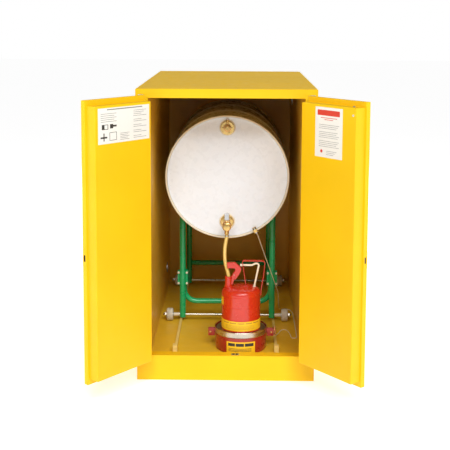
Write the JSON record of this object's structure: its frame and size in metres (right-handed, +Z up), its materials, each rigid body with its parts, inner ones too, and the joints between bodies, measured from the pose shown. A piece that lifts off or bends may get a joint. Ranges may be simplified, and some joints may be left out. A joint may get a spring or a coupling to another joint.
{
  "type": "horizontal drum safety cabinet",
  "caption": "Double-wall steel cabinet with two hinged doors, holding a drum on a wheeled cradle with its vent and faucet, and a safety can on a drip pan.",
  "frame": {"origin": "centre of the base's underside, on the floor", "axes": "+Z up, +Y from the doors to the back, +X to the right as one faces the doors"},
  "size_m": [1.1582, 1.6632, 1.3],
  "materials": {
    "yellow_paint": "satin powder coat",
    "yellow_liner": "satin powder coat, inside faces",
    "zinc": "zinc-plated steel",
    "black_plastic": "black coated metal",
    "white_paint": "semi-gloss enamel",
    "brass": "cast and turned brass",
    "green_paint": "gloss enamel on steel tube",
    "rubber": "pale grey moulded solid rubber",
    "red_paint": "gloss powder coat",
    "copper": "bare copper alloy",
    "cream_tube": "cream plastic sleeve",
    "hose_tan": "flexible tan hose",
    "wire_coat": "coated flexible wire"
  },
  "bodies": {
    "cabinet": {"outer_side_left": "yellow_paint", "outer_side_right": "yellow_paint", "outer_back": "yellow_paint", "outer_top": "yellow_paint", "base_bottom": "yellow_paint", "liner_left": "yellow_liner", "liner_right": "yellow_liner", "liner_back": "yellow_liner", "liner_top": "yellow_liner", "floor_pan": "yellow_liner", "header": "yellow_paint", "sill": "yellow_paint", "jamb_left": "yellow_paint", "jamb_right": "yellow_paint", "hinge_leaf_left": "zinc", "hinge_leaf_right": "zinc", "side_vent_left": "zinc", "side_vent_right": "zinc", "floor_rail_left": "yellow_liner", "floor_rail_right": "yellow_liner", "can_pan": "red_paint", "pan_rim": "zinc", "pan_plate": "red_paint", "pan_clamp": "copper", "can_body": "red_paint", "can_handle": "red_paint", "can_tube": "cream_tube"},
    "left_door": {"left_door_outer": "yellow_paint", "left_door_inner": "yellow_liner", "left_door_hinge_leaf": "zinc", "left_strike_plate": "black_plastic"},
    "right_door": {"right_door_outer": "yellow_paint", "right_door_inner": "yellow_liner", "right_door_hinge_leaf": "zinc", "handle_rose": "black_plastic"},
    "handle": {"handle": "black_plastic"},
    "lock": {"lock_cylinder": "zinc"},
    "latch_rod_top": {"latch_rod_top": "zinc"},
    "latch_rod_bottom": {"latch_rod_bottom": "zinc"},
    "centre_bolt": {"centre_bolt": "black_plastic"},
    "cradle": {"cradle_side_left": "green_paint", "cradle_side_right": "green_paint", "cross_tube_front": "green_paint", "cross_tube_rear": "green_paint", "axle_front": "zinc", "axle_rear": "zinc", "drum_shell": "white_paint", "drum_head": "white_paint", "drum_vent": "brass", "faucet_body": "brass", "bond_clamp": "brass", "drain_hose": "hose_tan", "bond_wire": "wire_coat"},
    "wheel_front_left": {"wheel_front_left": "rubber"},
    "wheel_front_right": {"wheel_front_right": "rubber"},
    "wheel_rear_left": {"wheel_rear_left": "rubber"},
    "wheel_rear_right": {"wheel_rear_right": "rubber"},
    "faucet_lever": {"faucet_lever": "zinc"},
    "vent_poppet": {"vent_poppet": "zinc"},
    "can_lever": {"can_lever": "red_paint"}
  },
  "joints": [
    {"name": "left_door_hinge", "type": "hinge", "parent": "cabinet", "child": "left_door", "pos_m": [-0.359, -0.6835, 0.685], "axis": [0, 0, -1], "range_deg": [-128, 52]},
    {"name": "right_door_hinge", "type": "hinge", "parent": "cabinet", "child": "right_door", "pos_m": [0.359, -0.6835, 0.685], "axis": [0, 0, 1], "range_deg": [-128, 52]},
    {"name": "handle_turn", "type": "hinge", "parent": "right_door", "child": "handle", "pos_m": [0.54924, -0.927, 0.63], "axis": [-0.788, -0.6157, 0], "range_deg": [0, 90]},
    {"name": "lock_turn", "type": "hinge", "parent": "right_door", "child": "lock", "pos_m": [0.54924, -0.927, 0.59], "axis": [-0.788, -0.6157, 0], "range_deg": [0, 90]},
    {"name": "top_rod_slide", "type": "slide", "parent": "right_door", "child": "latch_rod_top", "axis": [0, 0, 1], "range_m": [0, 0.012]},
    {"name": "bottom_rod_slide", "type": "slide", "parent": "right_door", "child": "latch_rod_bottom", "axis": [0, 0, -1], "range_m": [0, 0.012]},
    {"name": "centre_bolt_slide", "type": "slide", "parent": "right_door", "child": "centre_bolt", "axis": [0.6157, -0.788, 0], "range_m": [0, 0.015]},
    {"name": "cradle_roll", "type": "slide", "parent": "cabinet", "child": "cradle", "axis": [0, -1, 0], "range_m": [-0.03, 0.08], "deforming": ["drain_hose", "bond_wire"]},
    {"name": "wheel_front_left_spin", "type": "hinge", "parent": "cradle", "child": "wheel_front_left", "pos_m": [-0.286, -0.1, 0.1263], "axis": [1, 0, 0], "range_deg": [-60, 150]},
    {"name": "wheel_front_right_spin", "type": "hinge", "parent": "cradle", "child": "wheel_front_right", "pos_m": [0.286, -0.1, 0.1263], "axis": [1, 0, 0], "range_deg": [-60, 150]},
    {"name": "wheel_rear_left_spin", "type": "hinge", "parent": "cradle", "child": "wheel_rear_left", "pos_m": [-0.286, 0.535, 0.1263], "axis": [1, 0, 0], "range_deg": [-60, 150]},
    {"name": "wheel_rear_right_spin", "type": "hinge", "parent": "cradle", "child": "wheel_rear_right", "pos_m": [0.286, 0.535, 0.1263], "axis": [1, 0, 0], "range_deg": [-60, 150]},
    {"name": "faucet_lever_pull", "type": "hinge", "parent": "cradle", "child": "faucet_lever", "pos_m": [0, -0.415, 0.68], "axis": [1, 0, 0], "range_deg": [0, 30], "stiffness_Nm_per_rad": 0.4, "springref_deg": -17.19},
    {"name": "vent_lift", "type": "slide", "parent": "cradle", "child": "vent_poppet", "axis": [0, 0, 1], "range_m": [0, 0.004], "stiffness_N_per_m": 150, "springref_m": -0.004},
    {"name": "can_lid_lift", "type": "hinge", "parent": "cabinet", "child": "can_lever", "pos_m": [0.0355, -0.48, 0.436], "axis": [0, 1, 0], "range_deg": [0, 12], "stiffness_Nm_per_rad": 0.25, "springref_deg": -28.65}
  ],
  "couplings": [
    {"joint": "top_rod_slide", "follows": "handle_turn", "m_per_rad": 0.00763},
    {"joint": "bottom_rod_slide", "follows": "handle_turn", "m_per_rad": 0.00763},
    {"joint": "centre_bolt_slide", "follows": "handle_turn", "m_per_rad": 0.00954},
    {"joint": "wheel_front_left_spin", "follows": "cradle_roll", "rad_per_m": 32.258},
    {"joint": "wheel_front_right_spin", "follows": "cradle_roll", "rad_per_m": 32.258},
    {"joint": "wheel_rear_left_spin", "follows": "cradle_roll", "rad_per_m": 32.258},
    {"joint": "wheel_rear_right_spin", "follows": "cradle_roll", "rad_per_m": 32.258}
  ]
}
